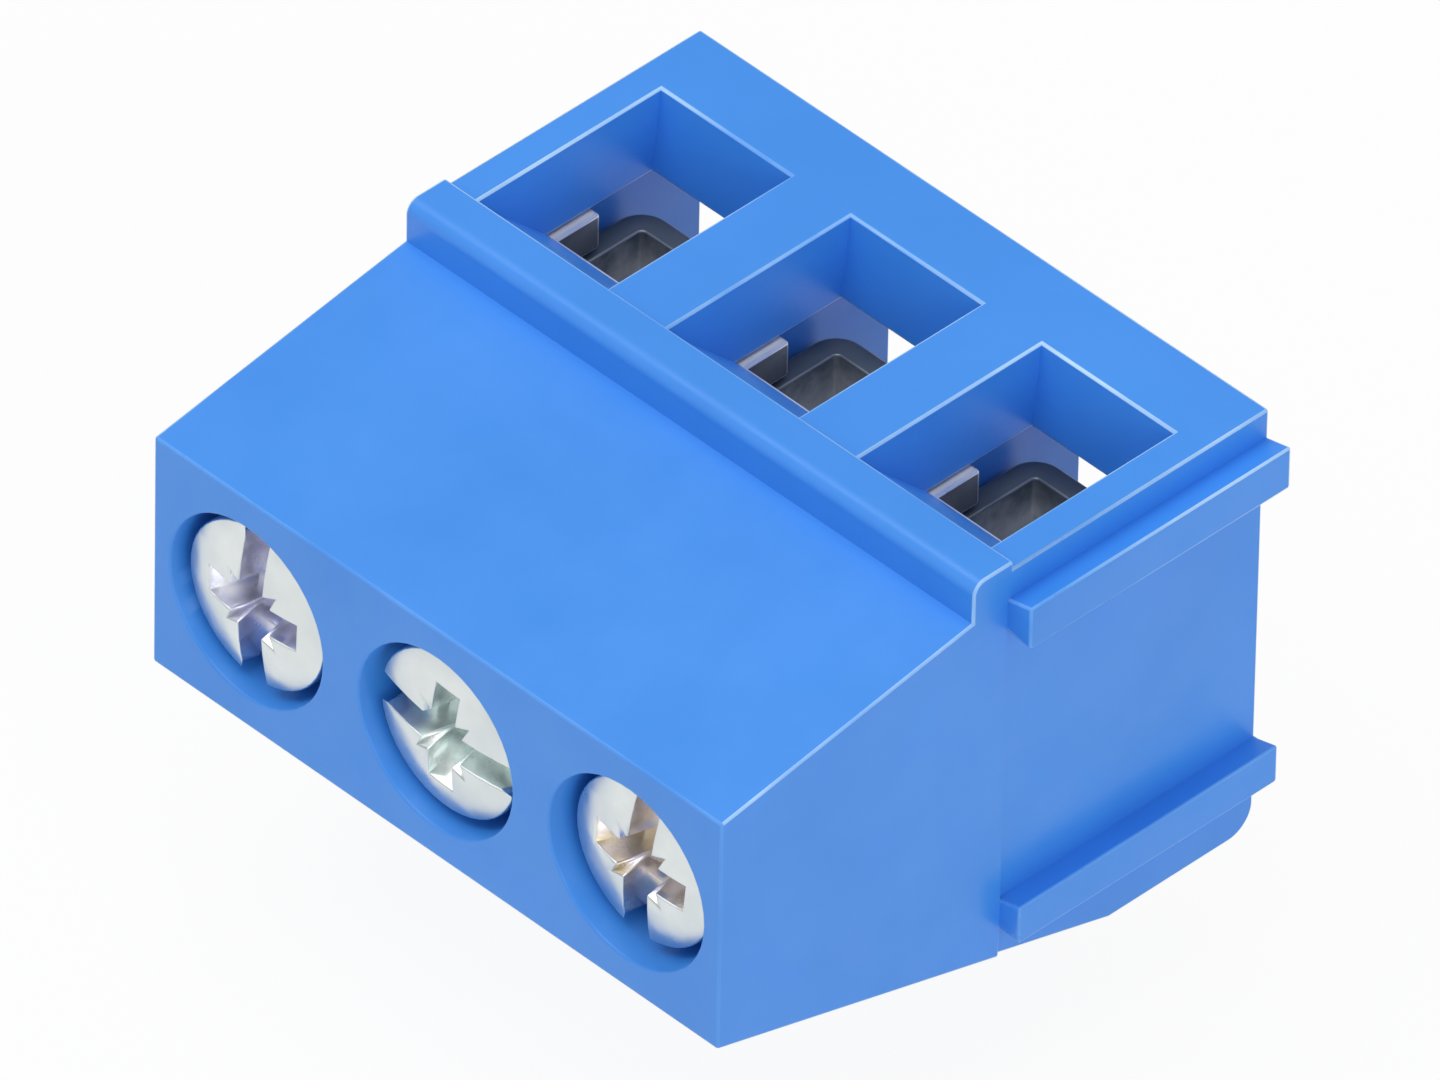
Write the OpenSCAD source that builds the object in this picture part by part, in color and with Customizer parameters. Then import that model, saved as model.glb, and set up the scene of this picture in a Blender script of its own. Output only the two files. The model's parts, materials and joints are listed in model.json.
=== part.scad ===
// Three-pole printed-circuit-board screw terminal with rising clamp cages.
//
// Wires drop in through funnels in the top, the screws are turned from the
// front, and the solder pins leave through the floor. The rear is open.
//
// Frame: X runs along the row of poles, +Y from the screw face to the open
// rear, +Z up, away from the board. The origin lies on the board under the
// middle solder pin. The modules are drawn with Y measured from the screw
// face, and placed() moves each one into that frame.

/* [Poles] */
// Distance between neighbouring poles
pole_pitch = 5.0; // [4.8:0.01:5.2]
// From the axis of an outer pole to the end face beside it
end_margin = 2.45; // [2.4:0.01:2.5]

/* [Housing outline] */
// Screw face to rear face
body_depth = 13.9; // [13.4:0.05:14.6]
// Board to the top face
body_height = 10.15; // [10:0.05:10.6]
// Top face down to the upper edge of the screw face
face_drop = 1.8; // [1.7:0.05:2.0]
// Height of the screw face
face_height = 5.4; // [5.2:0.05:5.6]
// Screw face to the front edge of the board seat
seat_front = 10.2; // [9.6:0.1:10.8]
// Radius of the lower rear edge
heel_radius = 0.6; // [0.3:0.05:0.8]
// Screw face to the front of the raised brow
brow_front = 6.35; // [6.1:0.05:6.5]
// Width of the brow, from its front to the edge of the wire mouths
brow_width = 1.01; // [0.9:0.01:1.1]
// Height of the brow above the top face
brow_rise = 0.17; // [0.05:0.01:0.3]
// Height of the brow's upright front below the top face
brow_drop = 0.75; // [0.6:0.05:0.9]
// Radius of the brow's front edge
brow_radius = 0.3; // [0.1:0.05:0.4]

// How far the walls between the chambers stop short of the rear face
rear_recess = 0.35; // [0.2:0.05:0.6]

/* [Wire entry] */
// Length of the mouth from front to back
mouth_length = 4.83; // [4.6:0.01:5.0]
// Width of the mouth along the row
mouth_width = 3.44; // [3.3:0.01:3.6]
// How far the funnel's front wall slopes in
funnel_front_slope = 1.82; // [1.6:0.01:1.9]
// How far the funnel's rear wall slopes in
funnel_rear_slope = 0.32; // [0.2:0.01:0.5]
// How far each side wall of the funnel slopes in
funnel_side_slope = 0.12; // [0.05:0.01:0.2]
// Depth of the funnel
funnel_depth = 1.75; // [1.6:0.01:1.8]

/* [Clamp screw] */
// Top face down to the screw axis
screw_drop = 4.5; // [4.4:0.05:4.55]
// Thread diameter
thread_diameter = 2.5; // [2.2:0.05:2.6]
// Head diameter
head_diameter = 3.55; // [3.4:0.05:3.7]
// Head thickness at its rim
head_thickness = 1.3; // [1.2:0.05:1.4]
// Rise of the domed top of the head
head_dome = 0.22; // [0.15:0.01:0.3]
// Width of the driver slot
slot_width = 0.62; // [0.5:0.01:0.7]
// Depth of the driver slot below the crown
slot_depth = 0.8; // [0.6:0.05:1.0]
// Span of the cross recess
cross_span = 2.4; // [2.0:0.05:2.6]
// Depth of the cross recess below the crown
cross_depth = 1.05; // [0.85:0.05:1.2]
// Width across the corners of the square core of the cross recess
core_width = 1.6; // [1.3:0.05:1.8]
// Depth of the crown of a fully seated screw below the screw face
head_sink = 0.25; // [0.2:0.05:0.4]
// Gap between the tip of a seated screw and the contact bar
tip_gap = 0.85; // [0.5:0.05:1.2]
// Radial gap between the head and its well
well_gap = 0.24; // [0.15:0.01:0.28]
// Radial gap between the thread and its holes
thread_gap = 0.04; // [0.02:0.01:0.08]
// Gap under the screw head
seat_gap = 0.02; // [0.01:0.01:0.04]
// Thickness of the wall that the screw head bears on
bearing_wall = 0.8; // [0.6:0.05:0.85]

/* [Lift cage] */
// Outer width of the cage along the row
cage_width = 3.75; // [3.7:0.01:3.8]
// Height of the cage
cage_height = 3.5; // [3.3:0.05:3.8]
// Thickness of the cage's metal strip
cage_strip = 0.5; // [0.4:0.05:0.55]
// Outer radius of the cage's bends
cage_bend = 0.6; // [0.57:0.01:0.8]
// How far the lapped end of the strip stops short of the corner
lap_step = 0.4; // [0.2:0.05:0.6]
// Screw face to the outer rear face of a fully lowered cage
cage_rear = 12.26; // [12.2:0.02:12.4]
// Wire gap of a fully lowered cage
wire_gap = 2.46; // [2.4:0.02:2.5]
// Room between a lowered cage's front wall and the contact bar
cage_slack = 2.2; // [2.1:0.05:2.3]
// Gap between the cage and the walls that guide it
guide_gap = 0.12; // [0.1:0.01:0.15]

/* [Contact] */
// Thickness of the contact's sheet metal
contact_sheet = 0.8; // [0.7:0.05:0.9]
// Width of the contact bar inside the cage
bar_width = 1.9; // [1.6:0.05:2.0]
// How far each folded ear reaches behind the front of the wire opening
ear_reach = 1.2; // [0.8:0.05:1.4]
// Thickness of the ear beside the wire opening
ear_sheet = 0.5; // [0.4:0.05:0.6]
// Width of each shoulder where the bar widens into its foot
shoulder_width = 0.32; // [0.2:0.02:0.36]
// Gap between the contact and the housing that locates it
contact_gap = 0.03; // [0.02:0.01:0.05]
// Diameter of the solder pin
pin_diameter = 1.0; // [0.9:0.05:1.0]
// Width of the pin's square neck in the floor
neck_width = 1.1; // [1.05:0.05:1.2]
// Length of the solder pin below the board seat
pin_length = 2.3; // [2.1:0.05:2.6]
// Length of the pin's tapered end
pin_taper = 0.4; // [0.2:0.05:0.5]
// Screw face to the row of solder pins
pin_row = 12.0; // [11.8:0.05:12.2]
// Thickness of the housing floor
floor_thickness = 0.95; // [0.8:0.05:1.1]

/* [Ends] */
// How far the upper rib stands out
upper_rib_out = 0.6; // [0.4:0.05:0.6]
// How far the lower rib stands out
lower_rib_out = 0.5; // [0.4:0.05:0.6]
// Width of the upper rib at its outer face
upper_rib_width = 0.98; // [0.8:0.02:1.0]
// Width of the lower rib at its outer face
lower_rib_width = 0.88; // [0.8:0.02:1.0]
// Undercut of a rib on each side
rib_undercut = 0.13; // [0.05:0.01:0.2]
// Screw face to the front ends of the ribs
rib_front = 7.23; // [7.0:0.05:7.6]
// Top face down to the middle of the upper rib
upper_rib_drop = 1.02; // [0.98:0.02:1.06]
// Board up to the middle of the lower rib
lower_rib_level = 1.92; // [1.75:0.01:2.0]
// Depth of the panel between the ribs
panel_recess = 0.1; // [0.05:0.01:0.12]
// Gap between a rib and the groove of the next block
dovetail_gap = 0.05; // [0.03:0.01:0.08]

/* [Hidden] */
$fn = 72;

// Poles, from left to right: place, lift of the cage at rest, and turn of the
// screw's driver slot from upright, in degrees, and how far the loose screw
// floats off its seat
pole_x = [-pole_pitch, 0, pole_pitch];
cage_lifts = [0.35, 0.2, 0];
slot_turns = [1, 94, 5];
screw_floats = [0.19, 0.13, 0];

// Cuts run this far past the faces that they open
past = 1;

// Housing outline
body_half = pole_pitch + end_margin;
face_top = body_height - face_drop;
face_bottom = face_top - face_height;
screw_height = body_height - screw_drop;
brow_back = brow_front + brow_width;
brow_top = body_height + brow_rise;

// Wire funnel
mouth_rear = brow_back + mouth_length;
throat_front = brow_back + funnel_front_slope;
throat_rear = mouth_rear - funnel_rear_slope;
throat_half = mouth_width / 2 - funnel_side_slope;
ceiling = body_height - funnel_depth;

// Screw
head_seat = head_sink + head_dome + head_thickness;
well_depth = head_seat + seat_gap;
well_radius = head_diameter / 2 + well_gap;
thread_hole_radius = thread_diameter / 2 + thread_gap;

// Contact bar, and the cage around it when fully lowered
bar_rear = cage_rear - cage_strip - wire_gap;
bar_front = bar_rear - contact_sheet;
window_front = bar_front - cage_slack;
lap_front = window_front - 2 * cage_strip;

// Chambers
chamber_front = well_depth + bearing_wall;
chamber_half = cage_width / 2 + guide_gap;
chamber_bottom = screw_height - cage_height / 2 - guide_gap;
chamber_top = screw_height + cage_height / 2 + guide_gap;
pocket_front = bar_front - contact_gap;
neck_slot_half = neck_width / 2 + contact_gap;

// Contact
ear_half = chamber_half - 2 * contact_gap;
head_bottom = chamber_top;
contact_top = ceiling - 2 * contact_gap;
foot_half = bar_width / 2 + shoulder_width;
shoulder_top = chamber_bottom - guide_gap;
foot_rear = pin_row + pin_diameter;
ear_rear = throat_front + ear_reach;

// Dovetail ribs, lower and upper: level of the middle, reach, and width at the
// outer face; a groove is deeper than the rib of the next block that it takes
ribs = [
    [lower_rib_level, lower_rib_out, lower_rib_width],
    [body_height - upper_rib_drop, upper_rib_out, upper_rib_width]
];
groove_extra = 2 * end_margin + dovetail_gap - pole_pitch;

// The points of half an outline, and their mirror images in the second axis.
function mirrored(half) = concat(
    half,
    [for (i = [len(half) - 1 : -1 : 0]) [-half[i].x, half[i].y]]
);

// Pieces are drawn with Y from the screw face; this puts the pin row at Y = 0.
module placed(pole) {
    translate([pole_x[pole], -pin_row, 0]) children();
}

// A side view, drawn as (Y, Z), given a width along X.
module across(width) {
    translate([-width / 2, 0, 0]) rotate([90, 0, 90]) linear_extrude(width) children();
}

// A front view, drawn as (X, Z), given a depth from one Y to another.
module along(from, to) {
    translate([0, to, 0]) rotate([90, 0, 0]) linear_extrude(to - from) children();
}

// A cylinder along Y.
module rod(radius, from, to) {
    translate([0, from, 0]) rotate([-90, 0, 0]) cylinder(r = radius, h = to - from);
}

// A rectangle between two corners, with its corners rounded.
module round_box(low, high, radius) {
    size = high - low;
    translate(low + [radius, 0]) square([size.x - 2 * radius, size.y]);
    translate(low + [0, radius]) square([size.x, size.y - 2 * radius]);
    for (x = [low.x + radius, high.x - radius], y = [low.y + radius, high.y - radius])
        translate([x, y]) circle(radius);
}

// What a round edge takes off a corner that lies at the origin, with the
// material towards +x and +y.
module round_off(radius) {
    difference() {
        translate([-past, -past]) square(past + radius);
        translate([radius, radius]) circle(radius);
    }
}

// Side view of the housing: sloped front, brow, flat top, heel and board seat.
module housing_outline() {
    difference() {
        polygon([
            [0, face_bottom], [seat_front, 0], [body_depth, 0], [body_depth, body_height],
            [brow_back, body_height], [brow_back, brow_top], [brow_front, brow_top],
            [brow_front, body_height - brow_drop], [0, face_top]
        ]);
        translate([body_depth, 0]) mirror([1, 0]) round_off(heel_radius);
        translate([brow_front, brow_top]) mirror([0, 1]) round_off(brow_radius);
    }
}

// The funnel that leads the stripped wire in: its side view crossed with its
// front view.
module wire_funnel() {
    intersection() {
        across(mouth_width) polygon([
            [mouth_rear, body_height + past], [brow_back, body_height],
            [throat_front, ceiling], [throat_front, ceiling - past],
            [throat_rear, ceiling - past], [throat_rear, ceiling],
            [mouth_rear, body_height]
        ]);
        along(brow_back, mouth_rear) polygon(mirrored([
            [mouth_width / 2, body_height + past], [mouth_width / 2, body_height],
            [throat_half, ceiling], [throat_half, ceiling - past]
        ]));
    }
}

// The room behind one screw, open at the rear: the guide of the cage with the
// pocket of the contact's head above it, the narrower pocket of the contact's
// foot, and the slot by which the solder pin's neck slides into the floor.
module chamber() {
    rear = body_depth + past;
    across(2 * chamber_half) polygon([
        [chamber_front, chamber_bottom], [rear, chamber_bottom], [rear, ceiling],
        [pocket_front, ceiling], [pocket_front, chamber_top], [chamber_front, chamber_top]
    ]);
    across(2 * (foot_half + contact_gap)) translate([pocket_front, floor_thickness])
        square([rear - pocket_front, chamber_bottom]);
    translate([-neck_slot_half, pin_row - neck_slot_half, -past])
        cube([2 * neck_slot_half, rear - pin_row, past + chamber_bottom]);
}

// The well of the screw head, and the bearing hole of the shank behind it.
module screw_well() {
    translate([0, 0, screw_height]) {
        rod(well_radius, -past, well_depth);
        rod(thread_hole_radius, well_depth - past, chamber_front + past);
    }
}

// Front view of a dovetail that stands out in +X from the end face: widened on
// each side by a gap, and rooted a little way inside the face.
module dovetail(width, depth, gap) {
    root = panel_recess + past / 10;
    tip = width / 2 + gap;
    polygon([
        [-root, rib_undercut - tip], [0, rib_undercut - tip], [depth, -tip],
        [depth, tip], [0, tip - rib_undercut], [-root, tip - rib_undercut]
    ]);
}

module housing() {
    color("royalblue") translate([0, -pin_row, 0]) {
        difference() {
            across(2 * body_half) housing_outline();
            for (x = pole_x) translate([x, 0, 0]) {
                wire_funnel();
                chamber();
                screw_well();
            }
            // The walls between the chambers stop short of the rear face.
            translate([-body_half - past, body_depth - rear_recess, floor_thickness])
                cube([
                    body_half + past + pole_pitch + chamber_half,
                    rear_recess + past,
                    ceiling - floor_thickness
                ]);
            // The panel between the ribs on the right end.
            translate([body_half - panel_recess, rib_front, -past])
                cube([past, body_depth, past + body_height - upper_rib_drop]);
            // The grooves in the left end take the next block's ribs.
            for (rib = ribs)
                translate([-body_half, 0, rib[0]])
                    along(rib_front - dovetail_gap, body_depth + past)
                        dovetail(rib[2], rib[1] + groove_extra, dovetail_gap);
        }
        for (rib = ribs)
            translate([body_half, 0, rib[0]]) along(rib_front, body_depth)
                dovetail(rib[2], rib[1], 0);
    }
}

// A straight-sided groove along X, cut into the crown that lies at Y = 0: wider
// at the crown than at its floor.
module tapered_cut(top, floor, width, depth) {
    translate([0, 0, -width / 2]) linear_extrude(width) polygon(mirrored([
        [top / 2, -past], [top / 2, 0], [floor / 2, depth]
    ]));
}

// The driver recess: a slot across the whole head, and a cross with a square
// core that narrows with depth.
module driver_recess() {
    cube([slot_width, 2 * slot_depth, 2 * head_diameter], center = true);
    for (turn = [0, 90]) rotate([0, turn, 0])
        tapered_cut(cross_span, core_width, slot_width, cross_depth);
    intersection_for(turn = [45, 135]) rotate([0, turn, 0])
        tapered_cut(core_width / sqrt(2), slot_width, cross_span, cross_depth);
}

// Pan-head screw, its axis along Y through the origin, head towards -Y. The
// pointed shank starts inside the head.
module clamp_screw(pole) {
    head_radius = head_diameter / 2;
    dome_radius = (pow(head_radius, 2) + pow(head_dome, 2)) / (2 * head_dome);
    shank_radius = thread_diameter / 2;
    tip = bar_front - tip_gap;
    point = thread_diameter / 10;
    color("gainsboro") placed(pole) translate([0, -screw_floats[pole], screw_height])
        rotate([0, slot_turns[pole], 0]) difference() {
            union() {
                intersection() {
                    rod(head_radius, head_sink, head_seat);
                    translate([0, head_sink + dome_radius, 0]) sphere(dome_radius);
                }
                rotate([-90, 0, 0]) rotate_extrude() polygon([
                    [0, head_sink + head_dome], [shank_radius, head_sink + head_dome],
                    [shank_radius, tip - point], [shank_radius - point, tip], [0, tip]
                ]);
            }
            translate([0, head_sink, 0]) driver_recess();
        }
}

// Top view of the cage's folded strip, fully lowered: a closed loop whose front
// wall is doubled by the lapped end of the strip.
module cage_strip_outline() {
    half = cage_width / 2;
    difference() {
        union() {
            round_box([-half, lap_front + cage_strip], [half, cage_rear], cage_bend);
            intersection() {
                round_box([-half, lap_front], [half + cage_bend, cage_rear], cage_bend);
                translate([-half, lap_front]) square([cage_width - lap_step, 4 * cage_strip]);
            }
        }
        round_box(
            [cage_strip - half, window_front], [half - cage_strip, cage_rear - cage_strip],
            cage_bend - cage_strip
        );
    }
}

module lift_cage(pole) {
    color("silver") placed(pole) translate([0, -cage_lifts[pole], screw_height]) difference() {
        translate([0, 0, -cage_height / 2]) linear_extrude(cage_height) cage_strip_outline();
        rod(thread_hole_radius, lap_front - past, window_front + past);
    }
}

// Side view of the contact's sheet: the upright bar and its foot.
module contact_bend() {
    difference() {
        translate([bar_front, floor_thickness])
            square([foot_rear - bar_front, contact_top - floor_thickness]);
        round_box(
            [bar_rear, floor_thickness + contact_sheet], [foot_rear + past, contact_top + past],
            contact_sheet / 4
        );
        translate([bar_front, floor_thickness]) round_off(contact_sheet);
    }
}

// Front view of the contact: wide foot, shoulders below the cage, bar inside
// the cage, and wide head above it.
module contact_front() {
    polygon(mirrored([
        [foot_half, 0], [foot_half, shoulder_top - shoulder_width], [bar_width / 2, shoulder_top],
        [bar_width / 2, head_bottom], [ear_half, head_bottom], [ear_half, contact_top]
    ]));
}

module contact(pole) {
    color("lightgray") placed(pole) {
        intersection() {
            across(2 * ear_half) contact_bend();
            along(bar_front, foot_rear) contact_front();
        }
        // The head's ears are folded back beside the wire opening.
        for (side = [0, 1]) mirror([side, 0, 0])
            translate([ear_half - ear_sheet, bar_front, head_bottom])
                cube([ear_sheet, ear_rear - bar_front, contact_top - head_bottom]);
        // The solder pin: a square neck in the floor, and below the board seat a
        // round length that is tapered at its end.
        translate([-neck_width / 2, pin_row - neck_width / 2, 0])
            cube([neck_width, neck_width, floor_thickness + contact_sheet / 2]);
        translate([0, pin_row, -pin_length]) {
            translate([0, 0, pin_taper])
                cylinder(d = pin_diameter, h = pin_length - pin_taper + floor_thickness / 2);
            cylinder(d1 = pin_diameter - pin_taper, d2 = pin_diameter, h = pin_taper);
        }
    }
}

module clamp_screw_1() { clamp_screw(0); }
module clamp_screw_2() { clamp_screw(1); }
module clamp_screw_3() { clamp_screw(2); }
module lift_cage_1() { lift_cage(0); }
module lift_cage_2() { lift_cage(1); }
module lift_cage_3() { lift_cage(2); }
module contact_1() { contact(0); }
module contact_2() { contact(1); }
module contact_3() { contact(2); }

housing();
clamp_screw_1();
clamp_screw_2();
clamp_screw_3();
lift_cage_1();
lift_cage_2();
lift_cage_3();
contact_1();
contact_2();
contact_3();
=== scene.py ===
# %% [markdown]
# # A three-pole screw terminal for circuit boards
# The real object is a blue moulded polyamide block. Each pole holds a
# zinc-plated clamp screw, a folded steel lift cage that the screw draws
# forward, and a tinned brass contact that ends in a solder pin.
#
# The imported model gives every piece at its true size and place. This lesson
# gives those pieces their rounded edges, threads and finishes, and shows the
# block on a white table.

# %% Load the frame
import json
import math

import bpy
from mathutils import Matrix, Vector

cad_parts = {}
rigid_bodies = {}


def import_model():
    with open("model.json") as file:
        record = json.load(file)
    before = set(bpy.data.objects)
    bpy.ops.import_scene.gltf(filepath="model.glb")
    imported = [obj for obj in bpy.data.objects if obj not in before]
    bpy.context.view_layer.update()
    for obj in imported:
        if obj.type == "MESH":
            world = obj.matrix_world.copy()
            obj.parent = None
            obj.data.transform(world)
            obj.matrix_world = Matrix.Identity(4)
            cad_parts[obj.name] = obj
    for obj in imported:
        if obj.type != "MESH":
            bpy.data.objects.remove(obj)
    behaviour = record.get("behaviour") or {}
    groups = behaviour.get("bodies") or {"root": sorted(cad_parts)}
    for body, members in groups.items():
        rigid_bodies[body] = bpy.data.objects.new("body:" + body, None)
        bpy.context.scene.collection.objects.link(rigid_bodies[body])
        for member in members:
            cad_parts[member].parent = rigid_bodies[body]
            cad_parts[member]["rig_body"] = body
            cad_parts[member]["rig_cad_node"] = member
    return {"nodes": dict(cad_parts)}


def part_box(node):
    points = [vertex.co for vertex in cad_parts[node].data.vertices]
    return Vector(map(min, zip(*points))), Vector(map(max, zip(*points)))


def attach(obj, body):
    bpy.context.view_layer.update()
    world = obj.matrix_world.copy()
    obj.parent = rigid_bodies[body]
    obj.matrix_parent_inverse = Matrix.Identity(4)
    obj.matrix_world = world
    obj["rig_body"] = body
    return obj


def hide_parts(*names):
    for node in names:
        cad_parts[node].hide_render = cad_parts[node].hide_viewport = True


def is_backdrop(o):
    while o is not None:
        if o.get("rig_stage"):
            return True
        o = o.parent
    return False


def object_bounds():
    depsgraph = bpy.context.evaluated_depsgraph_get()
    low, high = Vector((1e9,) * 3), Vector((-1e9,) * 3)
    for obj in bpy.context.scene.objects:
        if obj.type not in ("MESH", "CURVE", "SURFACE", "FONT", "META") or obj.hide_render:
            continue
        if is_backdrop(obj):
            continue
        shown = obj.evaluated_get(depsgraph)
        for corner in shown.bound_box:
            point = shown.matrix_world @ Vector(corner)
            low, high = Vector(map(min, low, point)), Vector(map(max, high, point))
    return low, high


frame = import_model()
cad_low, cad_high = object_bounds()
MM = 0.001
POLES = (1, 2, 3)
print("nodes:", sorted(frame["nodes"]))
print("block size in mm:", [round(side / MM, 2) for side in cad_high - cad_low])

# %% [markdown]
# ## The camera
# The block is seen from its front right corner and from well above, through a
# long lens, so that parallel edges stay nearly parallel. A camera could be
# aimed with a Track To constraint. Here its matrix is built from the direction
# in which it looks and the direction of its right side, which fixes its roll
# as well.

# %% Camera
CAMERA_PLACE = (0.36137, -0.36527, 0.44205)
view_direction = Vector((-0.53842, 0.53714, -0.64929)).normalized()
camera_right = Vector((0.69720, 0.71672, 0.01478)).normalized()
camera_up = camera_right.cross(view_direction)
turn = Matrix((camera_right, camera_up, -view_direction)).transposed()

camera_data = bpy.data.cameras.new("long_lens")
camera_data.sensor_width = 36
camera_data.lens = 915
camera_data.clip_start = 0.01
camera_data.clip_end = 10
camera = bpy.data.objects.new("camera", camera_data)
bpy.context.scene.collection.objects.link(camera)
camera.matrix_world = Matrix.Translation(CAMERA_PLACE) @ turn.to_4x4()
bpy.context.scene.camera = camera
print("camera looks along", tuple(round(c, 3) for c in view_direction))

# %% [markdown]
# ## Helpers for shaping
# Blender's operators act on whatever is selected, so every step starts by
# clearing the selection. The first helper does that and makes one object the
# active one. The second runs some steps in edit mode and comes back. The third
# adds a modifier and applies it at once.

# %% Selecting, editing and applying
def only(piece):
    bpy.ops.object.select_all(action="DESELECT")
    piece.select_set(True)
    bpy.context.view_layer.objects.active = piece


def edit(piece, *steps):
    only(piece)
    bpy.ops.object.mode_set(mode="EDIT")
    bpy.ops.mesh.select_all(action="SELECT")
    for step in steps:
        step()
    bpy.ops.object.mode_set(mode="OBJECT")


def apply_modifier(piece, kind, **settings):
    only(piece)
    modifier = piece.modifiers.new(kind.lower(), kind)
    for name, value in settings.items():
        setattr(modifier, name, value)
    bpy.ops.object.modifier_apply(modifier=modifier.name)


# %% [markdown]
# ## Rounding the edges of the CAD shapes
# Moulded and stamped pieces never have knife edges. A round of a twentieth of
# a millimetre catches the light as the thin bright line that outlines the
# faces of the real block. The CAD mesh itself stays untouched: a copy of it is
# merged, its flat faces are dissolved into single polygons, and its outer
# edges are bevelled. The copy then stands for the CAD node.
#
# An edge is rounded only where the shape is convex. The test takes the
# direction from the edge into the second face: on a convex edge it points
# behind the first face.

# %% A merged copy
MERGE_DISTANCE = 2e-6
FLAT_ANGLE = math.radians(0.6)


def merged_copy(node, name):
    only(frame["nodes"][node])
    bpy.ops.object.duplicate()
    piece = bpy.context.object
    piece.name = piece.data.name = name
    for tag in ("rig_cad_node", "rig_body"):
        if tag in piece:
            del piece[tag]
    edit(
        piece,
        lambda: bpy.ops.mesh.remove_doubles(threshold=MERGE_DISTANCE),
        lambda: bpy.ops.mesh.dissolve_limited(angle_limit=FLAT_ANGLE),
    )
    return piece


# %% [markdown]
# A bevel could have one width for the whole piece. Here each edge carries its
# own weight instead, a share of the widest round, so that hidden edges stay
# sharp and some corners are rounder than others. The bevel's own faces take
# the second material slot, which later gets a paler finish, a painted highlight.
# Weighted normals keep the large flat faces evenly shaded up to the rounds.

# %% Smooth shading, and which way an edge runs
def smooth(piece, angle=35):
    only(piece)
    bpy.ops.object.shade_smooth_by_angle(angle=math.radians(angle))
    apply_modifier(piece, "WEIGHTED_NORMAL", mode="FACE_AREA", weight=100, keep_sharp=True)


def faces_by_edge(mesh):
    faces_at = {}
    for face in mesh.polygons:
        for key in face.edge_keys:
            faces_at.setdefault(key, []).append(face)
    return faces_at


def direction_along(mesh, edge, face):
    # The face lies to the left of this direction, seen from outside.
    start, end = (mesh.vertices[v].co for v in edge.vertices)
    loop = list(face.vertices)
    forward = loop[(loop.index(edge.vertices[0]) + 1) % len(loop)] == edge.vertices[1]
    return end - start if forward else start - end


# %% Weighted bevels
WIDEST_ROUND = 0.3 * MM


def round_edges(piece, width_at, sharp=25, segments=2):
    mesh = piece.data
    weights = mesh.attributes.new("bevel_weight_edge", "FLOAT", "EDGE")
    faces_at = faces_by_edge(mesh)
    rounded = 0
    for edge in mesh.edges:
        faces = faces_at.get(edge.key, [])
        if len(faces) != 2 or faces[0].normal.angle(faces[1].normal, 0) < math.radians(sharp):
            continue
        along = direction_along(mesh, edge, faces[1])
        if faces[1].normal.cross(along).dot(faces[0].normal) > 0:
            continue
        start, end = (mesh.vertices[v].co for v in edge.vertices)
        width = width_at((start + end) / 2, along.normalized())
        weights.data[edge.index].value = width / WIDEST_ROUND
        rounded += width > 0
    mesh.materials.clear()
    mesh.materials.append(None)
    mesh.materials.append(None)
    apply_modifier(
        piece, "BEVEL", limit_method="WEIGHT", width=WIDEST_ROUND, segments=segments, material=1,
        use_clamp_overlap=False, loop_slide=False, miter_outer="MITER_ARC",
    )
    smooth(piece)
    print(piece.name, "has", rounded, "rounded edges and", len(piece.data.polygons), "faces")


# %% Faces that take another finish
FACES, ROUNDS = 0, 1


def give_faces(piece, slot, wanted):
    while len(piece.data.materials) <= slot:
        piece.data.materials.append(None)
    count = 0
    for face in piece.data.polygons:
        if wanted(face):
            face.material_index = slot
            count += 1
    print(piece.name, "gives", count, "faces to finish", slot)


# %% [markdown]
# ## The housing
# The outer edges of the moulding get a round of 0.05 mm. The edges deep in
# the chambers keep their CAD form, because nothing shows them. The rims of
# the screw wells keep the colour of the face that they lie in, and the rounds
# high on the block get a paler painted highlight than the low ones, because
# they stand out brighter on the real block.

# %% The housing's landmarks
block_low, block_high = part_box("housing")
SCREW_AXIS = 5.65 * MM
POLE_CENTRES = (-5 * MM, 0, 5 * MM)
MOULDED_ROUND = 0.05 * MM
CHAMBER_FLOOR = 0.95 * MM
CHAMBER_TOP = 8.3 * MM
CHAMBER_SIDE = 7.2 * MM
FRONT_WALL = 2 * MM
REAR_WALL = 1 * MM
WELL_REACH = 2.08 * MM
HIGH_ROUNDS = 8.2 * MM
FACE_MARGIN = 0.1 * MM
TOP_EDGE_MARGIN = 0.2 * MM
print("the housing spans y", [round(y / MM, 2) for y in (block_low.y, block_high.y)], "mm")


# %% The housing's shell
def housing_width(middle, along):
    inside = block_low.y + FRONT_WALL < middle.y < block_high.y - REAR_WALL
    deep = CHAMBER_FLOOR < middle.z < CHAMBER_TOP and abs(middle.x) < CHAMBER_SIDE
    return 0 if inside and deep else MOULDED_ROUND


def on_a_high_round(face):
    behind_face = face.center.y > block_low.y + TOP_EDGE_MARGIN
    return face.material_index == ROUNDS and face.center.z > HIGH_ROUNDS and behind_face


def on_a_well(face):
    sideways = min(abs(face.center.x - centre) for centre in POLE_CENTRES)
    near_face = face.center.y < block_low.y + FACE_MARGIN
    return near_face and math.hypot(sideways, face.center.z - SCREW_AXIS) < WELL_REACH


housing = merged_copy("housing", "housing_shell")
round_edges(housing, housing_width)
# Rounds high on the block take a paler painted highlight.
give_faces(housing, 2, on_a_high_round)
give_faces(housing, FACES, on_a_well)
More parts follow.
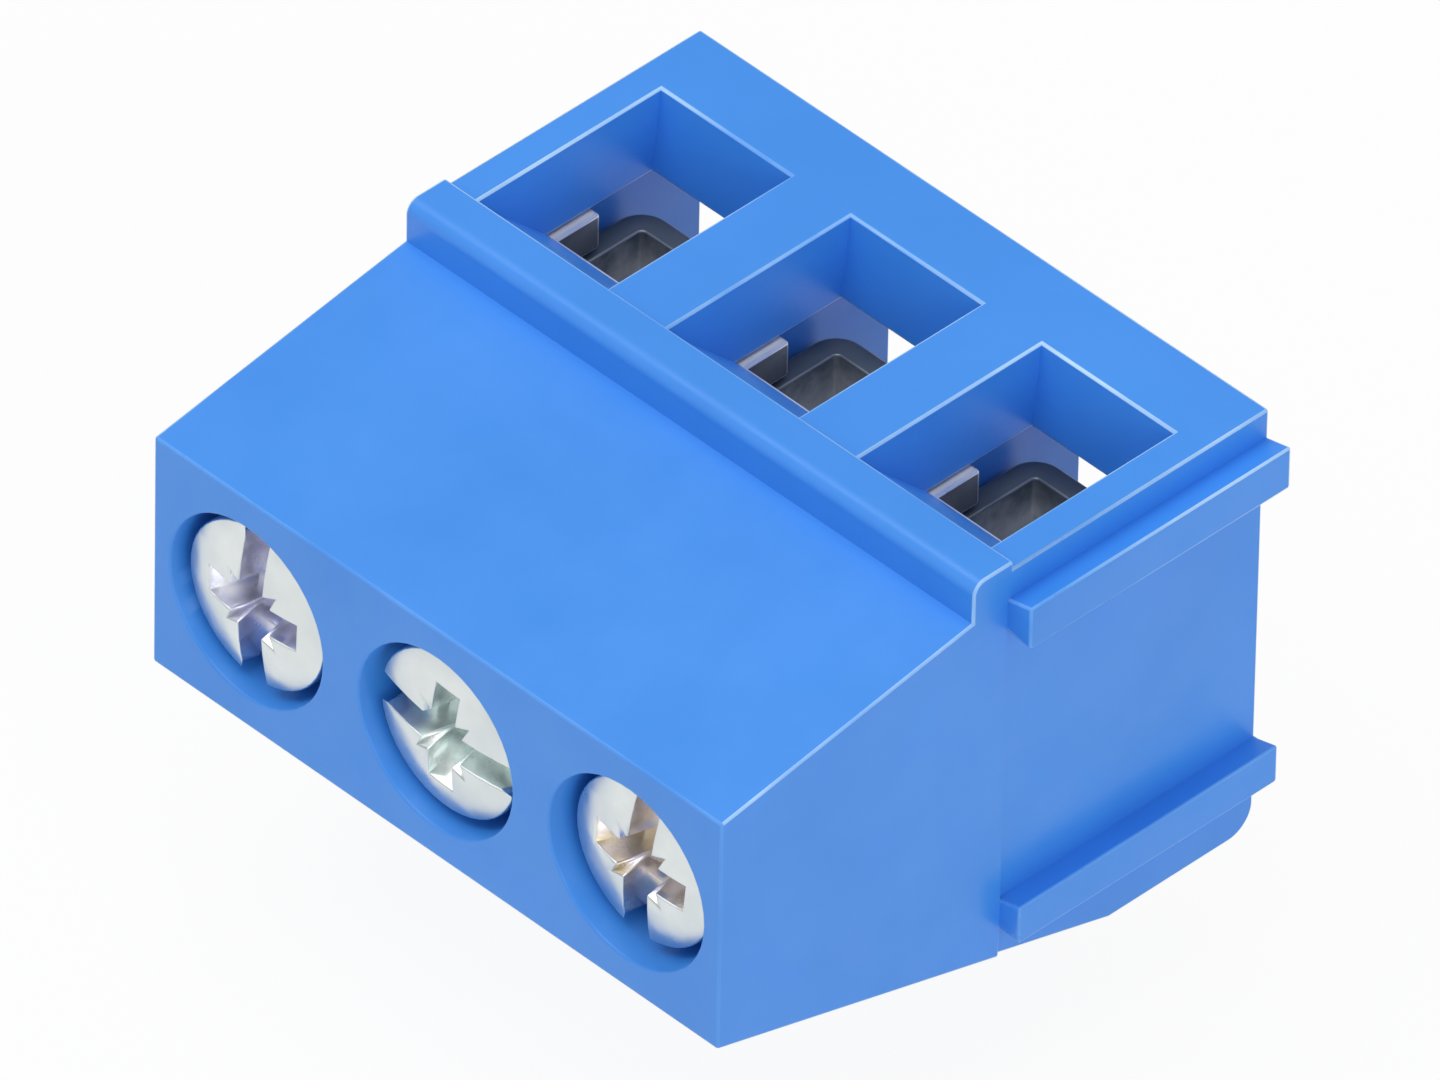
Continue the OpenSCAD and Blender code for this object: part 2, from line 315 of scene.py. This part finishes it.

# %% [markdown]
# Where parts of a mould meet, a little plastic can be squeezed out as flash. It
# could be modelled as a ragged ridge. It is so thin here that a mottled, nearly
# white finish on the rounds does as well, and it paints in their highlight too:
# on the lips of the throats, and on the upright edge where the side panel is set back.

# %% Flash and painted highlight on the throats' lips and the panel's edge
HIGHEST_THROAT = 8.6 * MM
THROAT_FRONT = 7 * MM
SIDE_WALL = 7.3 * MM
PANEL_FRONT = 7.23 * MM
PANEL_LOW, PANEL_HIGH = 2.4 * MM, 8.0 * MM


def on_flash_and_highlight(face):
    at = face.center
    in_a_mouth = at.y > block_low.y + THROAT_FRONT and abs(at.x) < SIDE_WALL
    throat = HIGH_ROUNDS < at.z < HIGHEST_THROAT and in_a_mouth
    at_panel = at.x > SIDE_WALL and abs(at.y - block_low.y - PANEL_FRONT) < FACE_MARGIN
    panel_edge = at_panel and PANEL_LOW < at.z < PANEL_HIGH
    return face.material_index in (ROUNDS, 2) and (throat or panel_edge)


# These rounds take a nearly white finish: flash and a painted highlight.
give_faces(housing, 3, on_flash_and_highlight)
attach(housing, "block")
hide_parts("housing")

# %% [markdown]
# ## The threads
# The CAD screw has a plain shank. Its head is kept, and the shank gives way to
# a thread. A small diamond, half sunk into a core, is the section of the
# thread's ridge: the Screw modifier sweeps it along a helix, and two bisects
# cut the helix square at the seat and near the tip.

# %% The section of a thread's ridge
PITCH = 0.45 * MM
THREAD = 1.25 * MM
DEPTH = 0.24 * MM
RIDGE_SLENDERNESS = 0.44
TIP_CUT = 0.3
CORE_BEVEL = 0.12 * MM
STEPS_PER_TURN = 28
CORE_SIDES = 48
SMALLEST_GAP = 1e-6


def ridge_section(name):
    bpy.ops.object.select_all(action="DESELECT")
    bpy.ops.mesh.primitive_circle_add(
        vertices=4, radius=DEPTH, location=(THREAD - DEPTH, 0, 0), rotation=(math.pi / 2, 0, 0))
    ridge = bpy.context.object
    ridge.name = ridge.data.name = name
    ridge.scale.y = RIDGE_SLENDERNESS * PITCH / DEPTH
    bpy.ops.object.transform_apply(location=True, rotation=True, scale=True)
    return ridge


# %% A thread's core
def thread_core(start, stop, centre_x):
    bpy.ops.object.select_all(action="DESELECT")
    bpy.ops.mesh.primitive_cylinder_add(
        vertices=CORE_SIDES, radius=THREAD - DEPTH, depth=stop - start,
        location=(centre_x, (start + stop) / 2, SCREW_AXIS), rotation=(math.pi / 2, 0, 0))
    core = bpy.context.object
    bpy.ops.object.transform_apply(location=True, rotation=True, scale=True)
    apply_modifier(core, "BEVEL", limit_method="ANGLE", width=CORE_BEVEL, segments=2)
    return core


# %% A whole thread
def thread(name, start, stop, centre_x):
    ridge = ridge_section(name)
    apply_modifier(
        ridge, "SCREW", angle=2 * math.pi, screw_offset=PITCH,
        iterations=int((stop - start) / PITCH) + 2,
        steps=STEPS_PER_TURN, render_steps=STEPS_PER_TURN,
        use_merge_vertices=True, merge_threshold=SMALLEST_GAP, use_normal_calculate=True,
    )
    place = Matrix.Translation((centre_x, start - PITCH, SCREW_AXIS))
    ridge.matrix_world = place @ Matrix.Rotation(-math.pi / 2, 4, "X")
    only(ridge)
    bpy.ops.object.transform_apply(location=True, rotation=True, scale=True)
    cut_tip = (0, stop - TIP_CUT * PITCH, 0)
    edit(
        ridge,
        lambda: bpy.ops.mesh.remove_doubles(threshold=SMALLEST_GAP),
        lambda: bpy.ops.mesh.bisect(
            plane_co=(0, start, 0), plane_no=(0, 1, 0), use_fill=True, clear_inner=True),
        lambda: bpy.ops.mesh.select_all(action="SELECT"),
        lambda: bpy.ops.mesh.bisect(
            plane_co=cut_tip, plane_no=(0, 1, 0), use_fill=True, clear_outer=True),
        lambda: bpy.ops.mesh.select_all(action="SELECT"),
        lambda: bpy.ops.mesh.normals_make_consistent(inside=False),
    )
    print(name, "has", len(ridge.data.polygons), "faces in its ridge")
    return ridge, thread_core(start, stop, centre_x)


# %% [markdown]
# ## The recesses
# The recess is a slot and a cross, and between the arms of the cross four
# sharp notches run down to its core, so that its walls break the light into
# many small facets. The notches could be pressed one by one. They are cut all
# at once with a four-pointed star: an octagon whose every second corner is
# drawn inwards, extruded to a smaller floor.

# %% The star that cuts the notches
STAR_RADIUS = 0.98 * MM
STAR_ABOVE = 0.1 * MM
STAR_DEPTH = 1.0 * MM
STAR_WAIST = 0.40
STAR_FLOOR = 0.35


def star(crown, centre_x, turned):
    bpy.ops.object.select_all(action="DESELECT")
    bpy.ops.mesh.primitive_circle_add(
        vertices=8, radius=STAR_RADIUS, fill_type="NGON",
        location=(centre_x, crown - STAR_ABOVE, SCREW_AXIS), rotation=(math.pi / 2, 0, 0))
    cutter = bpy.context.object
    bpy.ops.object.transform_apply(location=True, rotation=True, scale=True)
    for index, vertex in enumerate(cutter.data.vertices):
        if index % 2 == 0:
            middle = Vector((centre_x, vertex.co.y, SCREW_AXIS))
            vertex.co = middle + (vertex.co - middle) * STAR_WAIST
    cutter.data.transform(
        Matrix.Translation((centre_x, 0, SCREW_AXIS))
        @ Matrix.Rotation(turned, 4, "Y")
        @ Matrix.Translation((-centre_x, 0, -SCREW_AXIS)))
    edit(
        cutter,
        lambda: bpy.ops.mesh.extrude_region_move(
            TRANSFORM_OT_translate={"value": (0, STAR_DEPTH, 0)}),
        lambda: bpy.ops.transform.resize(
            value=(STAR_FLOOR, 1, STAR_FLOOR), center_override=(centre_x, crown, SCREW_AXIS)),
        lambda: bpy.ops.mesh.select_all(action="SELECT"),
        lambda: bpy.ops.mesh.normals_make_consistent(inside=False),
    )
    return cutter


# %% [markdown]
# ## The clamp screws
# Each head is rounded finely, apart from the ends of its two lands beside the
# slot, which are the roundest corners of a pressed head. A bisect takes the
# plain shank away just below the seat, and the thread is joined on. The faces
# down in the recess take their own finish, for the tint that the plating
# shows there.

# %% Where a head's edges and recess lie
HEAD_LENGTH = 1.52 * MM
HEAD_ROUND = 0.035 * MM
LAND_ROUND = 0.3 * MM
LAND_RADIUS = 1.6 * MM
SEAT_RADIUS = 1.7 * MM
RECESS_RADIUS = 1.68 * MM
DOME_RADIUS = 7.27 * MM
SEAT_MARGIN = 0.3 * MM
DOME_SKIN = 0.06 * MM
RECESS_END = 0.2 * MM
SHANK_CUT = 0.05 * MM
ALONG_THE_SCREW = 0.5
# The slots stand as the screws were left, in degrees from upright.
SLOT_TURNS = {1: 1, 2: 94, 3: 5}


def head_width(crown, centre_x):
    def width_at(middle, along):
        radius = math.hypot(middle.x - centre_x, middle.z - SCREW_AXIS)
        if middle.y > crown + HEAD_LENGTH - SEAT_MARGIN and radius < SEAT_RADIUS:
            return 0
        if radius > LAND_RADIUS and abs(along.y) > ALONG_THE_SCREW:
            return LAND_ROUND
        return HEAD_ROUND
    return width_at


def in_recess(crown, centre_x):
    def wanted(face):
        radius = math.hypot(face.center.x - centre_x, face.center.z - SCREW_AXIS)
        dome = radius**2 / (2 * DOME_RADIUS)
        below_dome = face.center.y > crown + dome + DOME_SKIN
        above_seat = face.center.y < crown + HEAD_LENGTH - RECESS_END
        deep = below_dome and above_seat and radius < RECESS_RADIUS
        return face.material_index == FACES and deep
    return wanted


# %% Heads and shanks
def threaded_screw(pole):
    node = f"clamp_screw_{pole}"
    low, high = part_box(node)
    centre_x = (low.x + high.x) / 2
    crown = low.y
    head_seat = crown + HEAD_LENGTH
    screw = merged_copy(node, f"screw_{pole}_threaded")
    cutter = star(crown, centre_x, math.radians(SLOT_TURNS[pole]))
    apply_modifier(screw, "BOOLEAN", operation="DIFFERENCE", object=cutter, solver="EXACT")
    bpy.data.objects.remove(cutter)
    round_edges(screw, head_width(crown, centre_x), sharp=20, segments=3)
    edit(
        screw,
        lambda: bpy.ops.mesh.bisect(
            plane_co=(0, head_seat + SHANK_CUT, 0), plane_no=(0, 1, 0),
            use_fill=True, clear_outer=True),
    )
    ridge, core = thread(f"thread_{pole}", head_seat, high.y, centre_x)
    only(screw)
    ridge.select_set(True)
    core.select_set(True)
    bpy.ops.object.join()
    smooth(screw, 32)
    give_faces(screw, 2, in_recess(crown, centre_x))
    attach(screw, f"screw_{pole}")
    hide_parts(node)
    length = round((high.y - low.y) / MM, 2)
    print(screw.name, "is", length, "mm long, with", len(screw.data.polygons), "faces")
    return screw


screws = {pole: threaded_screw(pole) for pole in POLES}

# %% [markdown]
# ## The lift cages and the contacts
# Both are stamped from strip and folded. Shearing leaves small rounds on the
# edges, and the folds already have their radii in the CAD. The inside and the
# walls of each cage get finishes of their own, the inside a painted shade and
# light, and the contact's top faces get a painted sheen. The contact's upper
# part stands in shade, so its faces are set apart for a painted shade.

# %% Which faces take another finish
CAGE_ROUND = 0.04 * MM
CONTACT_ROUND = 0.06 * MM
INSIDE_INSET = 0.4
CONTACT_FOOT = 5 * MM
UPRIGHT = 0.5
FACING_UP = 0.7


def inside_cage(low, high):
    def wanted(face):
        at = face.center
        inset = min(at.x - low.x, high.x - at.x, high.y - at.y) / MM
        upright = abs(face.normal.z) < UPRIGHT
        return face.material_index == FACES and upright and inset > INSIDE_INSET
    return wanted


def cage_wall(face):
    return face.material_index == FACES and abs(face.normal.z) < UPRIGHT


def contact_top(face):
    return face.material_index == FACES and face.normal.z > FACING_UP


def contact_bar(face):
    return face.material_index == FACES and face.center.z > CONTACT_FOOT


# %% One cage and one contact for each pole
def folded_cage(pole):
    node = f"lift_cage_{pole}"
    cage = merged_copy(node, f"cage_{pole}_folded")
    round_edges(cage, lambda middle, along: CAGE_ROUND)
    # The inside takes painted shade near the top and painted light lower down.
    give_faces(cage, 2, inside_cage(*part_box(node)))
    give_faces(cage, 3, cage_wall)
    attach(cage, f"cage_{pole}")
    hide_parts(node)
    return cage


def stamped_contact(pole):
    node = f"contact_{pole}"
    contact = merged_copy(node, f"contact_{pole}_stamped")
    round_edges(contact, lambda middle, along: CONTACT_ROUND, sharp=40)
    # Top faces take a painted sheen.
    give_faces(contact, 2, contact_top)
    # The bar above the foot takes a painted shade.
    give_faces(contact, 3, contact_bar)
    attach(contact, "block")
    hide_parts(node)
    return contact


cages, contacts = {}, {}
for pole in POLES:
    cages[pole] = folded_cage(pole)
    contacts[pole] = stamped_contact(pole)

# %% [markdown]
# ## Materials
# Every finish is procedural and follows the object's own coordinates, in
# metres, so a noise scale of 1000 has features of about a millimetre. The
# helpers below add nodes, link them, and turn a noise into a range of values,
# a mix of two colours, or a stack of bumps.

# %% Helpers for nodes
def new_material(name, **sockets):
    material = bpy.data.materials.new(name)
    material.use_nodes = True
    shader = material.node_tree.nodes["Principled BSDF"]
    for socket, value in sockets.items():
        shader.inputs[socket.replace("_", " ")].default_value = value
    return material, shader


def add(material, kind, **inputs):
    node = material.node_tree.nodes.new(kind)
    for name, value in inputs.items():
        node.inputs[name.replace("_", " ")].default_value = value
    return node


def link(material, *pairs):
    for out, socket in pairs:
        material.node_tree.links.new(out, socket)


# %% Noise, ranges, mixes and bumps
MIX_FACTOR, MIX_FIRST, MIX_SECOND, MIX_RESULT = 0, 6, 7, 2


def noise(material, scale, detail=3, roughness=0.5):
    coordinates = add(material, "ShaderNodeTexCoord").outputs["Object"]
    texture = add(material, "ShaderNodeTexNoise", Scale=scale, Detail=detail, Roughness=roughness)
    link(material, (coordinates, texture.inputs["Vector"]))
    return texture.outputs["Fac"]


def spread(material, value, low, high, start=0.3, stop=0.7):
    ranged = add(
        material, "ShaderNodeMapRange", From_Min=start, From_Max=stop, To_Min=low, To_Max=high)
    link(material, (value, ranged.inputs["Value"]))
    return ranged.outputs["Result"]


def mix(material, factor, first, second):
    node = material.node_tree.nodes.new("ShaderNodeMix")
    node.data_type = "RGBA"
    node.inputs[MIX_FIRST].default_value = (*first, 1)
    node.inputs[MIX_SECOND].default_value = (*second, 1)
    link(material, (factor, node.inputs[MIX_FACTOR]))
    return node.outputs[MIX_RESULT]


def bumps(material, shader, *layers):
    previous = None
    for height, strength, distance in layers:
        bump = add(material, "ShaderNodeBump", Strength=strength, Distance=distance)
        link(material, (height, bump.inputs["Height"]))
        if previous:
            link(material, (previous, bump.inputs["Normal"]))
        previous = bump.outputs["Normal"]
    link(material, (previous, shader.inputs["Normal"]))


# %% [markdown]
# ## Blue polyamide
# The housing is moulded in a saturated blue with a satin surface. A plain blue
# would look like a drawing, so the tone drifts a little over some millimetres,
# the roughness over one, and two bumps give the shallow ripple of a moulding
# and the fine grain of the tool. The rounds use the same recipe in paler tones,
# as painted highlights: rims low on the block, lips high on it, and flash with a
# painted highlight on the throats.

# %% Moulded blue polyamide
TONE_SCALE = 260
GLOSS_SCALE = 900
GLOSS_SPREAD = 0.07
RIPPLE_SCALE, RIPPLE_STRENGTH, RIPPLE_HEIGHT = 350, 0.35, 0.03 * MM
GRAIN_SCALE, GRAIN_STRENGTH, GRAIN_HEIGHT = 9000, 0.25, 0.003 * MM


def polyamide(name, dark, light, rough):
    plastic, shader = new_material(name, IOR=1.5)
    tone = spread(plastic, noise(plastic, TONE_SCALE, detail=4), 0, 1)
    gloss = spread(
        plastic, noise(plastic, GLOSS_SCALE, detail=5), rough - GLOSS_SPREAD, rough + GLOSS_SPREAD)
    link(
        plastic,
        (mix(plastic, tone, dark, light), shader.inputs["Base Color"]),
        (gloss, shader.inputs["Roughness"]),
    )
    bumps(
        plastic, shader,
        (noise(plastic, RIPPLE_SCALE, detail=2), RIPPLE_STRENGTH, RIPPLE_HEIGHT),
        (noise(plastic, GRAIN_SCALE, detail=2), GRAIN_STRENGTH, GRAIN_HEIGHT),
    )
    print(name, "is about", rough, "rough")
    return plastic


plastic = polyamide("blue_polyamide", (0.044, 0.262, 0.80), (0.054, 0.288, 0.86), 0.36)
# Paler rims on the rounds: a painted highlight.
plastic_rim_highlight = polyamide("blue_polyamide_rim_highlight", (0.048, 0.27, 0.82), (0.12, 0.38, 0.92), 0.32)
# Paler lips on the high rounds: a painted highlight.
plastic_lip_highlight = polyamide("blue_polyamide_lip_highlight", (0.07, 0.32, 0.88), (0.46, 0.70, 0.99), 0.30)
# Flash and a painted highlight on the throats' lips and the panel's edge.
plastic_flash_and_highlight = polyamide("blue_polyamide_flash_and_highlight", (0.30, 0.46, 0.90), (0.90, 0.94, 0.99), 0.40)

# %% [markdown]
# ## Plated metal
# Plating is a thin metal skin over steel or brass. It is never quite even, so
# its colour and roughness both follow a noise, and a fine bump stands for the
# strip's surface below. The amount of metal in the shader falls where the skin
# is dull.

# %% A plated finish
PLATE_SCALE = 900
PLATE_SPREAD = 0.08
PLATE_BUMP_STRENGTH = 0.3
PLATE_BUMP = 0.01 * MM
GLOSS_FINER = 1.6
BUMP_FINER = 2.5


def plated(name, dark, light, rough, metallic=1.0, scale=PLATE_SCALE):
    metal, shader = new_material(name, Metallic=metallic)
    tone = spread(metal, noise(metal, scale, detail=4), 0, 1)
    patches = noise(metal, GLOSS_FINER * scale, detail=4)
    gloss = spread(metal, patches, rough - PLATE_SPREAD, rough + PLATE_SPREAD)
    link(
        metal,
        (mix(metal, tone, dark, light), shader.inputs["Base Color"]),
        (gloss, shader.inputs["Roughness"]),
    )
    fine = noise(metal, BUMP_FINER * scale, detail=4)
    bumps(metal, shader, (fine, PLATE_BUMP_STRENGTH, PLATE_BUMP))
    print(name, "is about", rough, "rough")
    return metal


# %% [markdown]
# The screws are bright zinc plate, which can show faint rainbow tints where
# its clear coat is thicker, as in a recess. Each of the three screws has a
# tint of its own.

# %% Bright zinc plate, and its tints in the recesses
RECESS = {"rough": 0.22, "metallic": 0.88, "scale": 1700}
zinc = plated("zinc_plate", (0.68, 0.73, 0.74), (0.79, 0.83, 0.82), 0.34)
# The rounds of the heads take a paler zinc: a painted highlight.
zinc_rim_highlight = plated("zinc_plate_rim_highlight", (0.84, 0.86, 0.90), (0.95, 0.95, 0.95), 0.25)
tints = {
    1: plated("zinc_recess_violet", (0.68, 0.68, 0.84), (0.96, 0.97, 0.98), **RECESS),
    2: plated("zinc_recess_green", (0.72, 0.84, 0.82), (0.96, 0.98, 0.97), **RECESS),
    3: plated("zinc_recess_yellow", (0.86, 0.79, 0.64), (0.90, 0.88, 0.97), **RECESS),
}

# %% [markdown]
# The cages are dull nickel plate, paler on the walls; the dark slate on the
# sheared edges is painted shade. Inside, painted shade darkens the plate near the
# top and a painted pool of light makes it pale and cloudy further down, so its
# tone follows the height in the cage with a noise on top.

# %% Dull nickel plate, with painted shade on the sheared edges
# The dark slate of the cages' edge faces and their rounds is painted shade.
nickel = plated("nickel_plate", (0.10, 0.13, 0.15), (0.16, 0.19, 0.21), 0.50, metallic=0.4)
nickel_rim_shade = plated(
    "nickel_plate_rim_shade", (0.16, 0.19, 0.21), (0.40, 0.42, 0.44), 0.40, metallic=0.6)
nickel_wall = plated(
    "nickel_plate_wall", (0.40, 0.42, 0.45), (0.56, 0.58, 0.60), 0.40, metallic=0.9)

# %% Painted shade and light inside the cages
PAINTED_SHADE_DEPTH = 1.1 * MM
CLOUD_SCALE = 1100
CLOUD = 0.35
INSIDE_BUMP_SCALE = 2000
cage_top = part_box("lift_cage_2")[1].z
# Painted shade near the top and a painted pool of light lower down, in the base colour.
nickel_inside_shade_and_light, shader = new_material("nickel_plate_inside_shade_and_light", Metallic=0.6, Roughness=0.34)
split = add(nickel_inside_shade_and_light, "ShaderNodeSeparateXYZ")
place = add(nickel_inside_shade_and_light, "ShaderNodeTexCoord").outputs["Object"]
link(nickel_inside_shade_and_light, (place, split.inputs[0]))
depth = spread(nickel_inside_shade_and_light, split.outputs["Z"], 0, 1, cage_top, cage_top - PAINTED_SHADE_DEPTH)
patches = noise(nickel_inside_shade_and_light, CLOUD_SCALE, detail=5, roughness=0.6)
painted_light_pool = spread(nickel_inside_shade_and_light, patches, -CLOUD, CLOUD)
shade = add(nickel_inside_shade_and_light, "ShaderNodeMath")
shade.use_clamp = True
painted_shade_and_light = mix(nickel_inside_shade_and_light, shade.outputs[0], (0.22, 0.26, 0.29), (0.98, 0.98, 0.95))
link(
    nickel_inside_shade_and_light,
    (depth, shade.inputs[0]),
    (painted_light_pool, shade.inputs[1]),
    (painted_shade_and_light, shader.inputs["Base Color"]),
)
bumps(
    nickel_inside_shade_and_light, shader,
    (noise(nickel_inside_shade_and_light, INSIDE_BUMP_SCALE, detail=4), PLATE_BUMP_STRENGTH, PLATE_BUMP))
print("the cages' bands reach down from z =", round(cage_top / MM, 2), "mm")

# %% [markdown]
# The contacts are brass with tin plate: bright on the pin and the foot, with
# a painted sheen on the top faces, painted shade on the bar that stands inside
# the cage, and a painted highlight on the rounds.

# %% Tin plate
tin = plated("tin_plate", (0.62, 0.63, 0.65), (0.76, 0.77, 0.78), 0.36, metallic=0.9)
# A dark tin on the bar that stands inside the cage: painted shade.
tin_painted_shade = plated("tin_plate_painted_shade", (0.16, 0.18, 0.21), (0.26, 0.28, 0.31), 0.50, metallic=0.6)
# The rounds of the contacts take a paler tin: a painted highlight.
tin_rim_highlight = plated("tin_plate_rim_highlight", (0.86, 0.87, 0.90), (0.95, 0.95, 0.95), 0.35, metallic=0.7)
# A paler tin on the faces that look up: a painted sheen.
tin_top_sheen = plated("tin_plate_top_sheen", (0.72, 0.74, 0.78), (0.90, 0.91, 0.92), 0.50, metallic=0.5)

# %% [markdown]
# ## Dressing the pieces
# A piece's material slots were counted out while it was shaped: its faces,
# its rounds, and then the faces that it gave to further finishes. Each slot
# now gets its finish, in that order.

# %% Finishes on the pieces
def dress(piece, slot, *finishes):
    for index, finish in enumerate(finishes):
        piece.data.materials[index] = finish
    print(piece.name, "wears", len(finishes), "finishes")


dress(housing, "housing_plastic", plastic, plastic_rim_highlight, plastic_lip_highlight, plastic_flash_and_highlight)
for pole in POLES:
    dress(screws[pole], "screw_steel", zinc, zinc_rim_highlight, tints[pole])
    dress(cages[pole], "cage_steel", nickel, nickel_rim_shade, nickel_inside_shade_and_light, nickel_wall)
    dress(contacts[pole], "contact_metal", tin, tin_rim_highlight, tin_top_sheen, tin_painted_shade)

# %% [markdown]
# ## The table
# The table could be made white by more light, but that would wash the block
# out. Instead it glows white to the camera and to mirrors, and is a matt white
# surface to all other rays, so the block still stands in its own soft shadow.

# %% White table
TABLE_SIDE = 3
TABLE_GAP = 0.02 * MM
GLOW_SHARE = 0.93
bpy.ops.object.select_all(action="DESELECT")
bpy.ops.mesh.primitive_plane_add(size=TABLE_SIDE, location=(0, 0, cad_low.z - TABLE_GAP))
table = bpy.context.object
table.name = "white_table"
table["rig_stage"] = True
paper, shader = new_material("white_paper", Base_Color=(0.8, 0.8, 0.8, 1), Roughness=0.9)
table.data.materials.append(paper)
white = add(paper, "ShaderNodeEmission", Color=(1, 1, 1, 1), Strength=1.0)
path = add(paper, "ShaderNodeLightPath")
seen = path.outputs["Is Camera Ray"]
for ray in ("Is Glossy Ray", "Is Transmission Ray"):
    greater = add(paper, "ShaderNodeMath")
    greater.operation = "MAXIMUM"
    link(paper, (seen, greater.inputs[0]), (path.outputs[ray], greater.inputs[1]))
    seen = greater.outputs[0]
share = add(paper, "ShaderNodeMath")
share.operation = "MULTIPLY"
share.inputs[1].default_value = GLOW_SHARE
link(paper, (seen, share.inputs[0]))
blend = add(paper, "ShaderNodeMixShader")
output = paper.node_tree.nodes["Material Output"]
link(
    paper,
    (share.outputs[0], blend.inputs[0]),
    (shader.outputs[0], blend.inputs[1]),
    (white.outputs[0], blend.inputs[2]),
    (blend.outputs[0], output.inputs["Surface"]),
)
print("the table lies at z =", round(table.location.z / MM, 2), "mm")

# %% [markdown]
# ## The sky
# The world lights the block evenly from all sides, at about half strength. The
# camera sees it at full strength, as plain white.

# %% White sky
SKY_LIGHT, SKY_SEEN = 0.46, 1.0
world = bpy.data.worlds.new("white_sky")
bpy.context.scene.world = world
world.use_nodes = True
tree = world.node_tree
sky = tree.nodes["Background"]
sky.inputs["Color"].default_value = (1, 1, 1, 1)
sky.inputs["Strength"].default_value = SKY_LIGHT
backdrop = tree.nodes.new("ShaderNodeBackground")
backdrop.inputs["Color"].default_value = (1, 1, 1, 1)
backdrop.inputs["Strength"].default_value = SKY_SEEN
ray = tree.nodes.new("ShaderNodeLightPath")
choice = tree.nodes.new("ShaderNodeMixShader")
tree.links.new(ray.outputs["Is Camera Ray"], choice.inputs[0])
tree.links.new(sky.outputs[0], choice.inputs[1])
tree.links.new(backdrop.outputs[0], choice.inputs[2])
tree.links.new(choice.outputs[0], tree.nodes["World Output"].inputs["Surface"])
print("the sky lights at", SKY_LIGHT, "and shows at", SKY_SEEN)

# %% [markdown]
# ## The lamps
# Three softboxes stand round the block. The large one overhead makes the top
# and the slope the brightest faces, the one on the right models the end, and
# the weak one on the left keeps the screw face from going flat.

# %% Softboxes
def softbox(name, place, size, power):
    data = bpy.data.lights.new(name, "AREA")
    data.shape = "RECTANGLE"
    data.size, data.size_y = size
    data.energy = power
    lamp = bpy.data.objects.new(name, data)
    bpy.context.scene.collection.objects.link(lamp)
    lamp.location = place
    lamp.rotation_euler = (-Vector(place)).to_track_quat("-Z", "Y").to_euler()
    print(name, "gives", power, "W")


softbox("overhead_softbox", (-0.05, -0.08, 0.40), (0.35, 0.35), 1.0)
softbox("right_softbox", (0.35, -0.12, 0.15), (0.30, 0.20), 0.42)
softbox("left_softbox", (-0.22, -0.32, 0.15), (0.20, 0.20), 0.05)

bpy.context.scene.view_settings.view_transform = "Standard"

# %% [markdown]
# ## Sizes
# The dressed pieces should stay within the box of the CAD model, and the
# last line prints how far they reach past it.

# %% Finish
low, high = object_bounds()
past = [round(max(a, b) / MM, 4) for a, b in zip(cad_low - low, high - cad_high)]
print("outside the CAD box by", past, "mm")
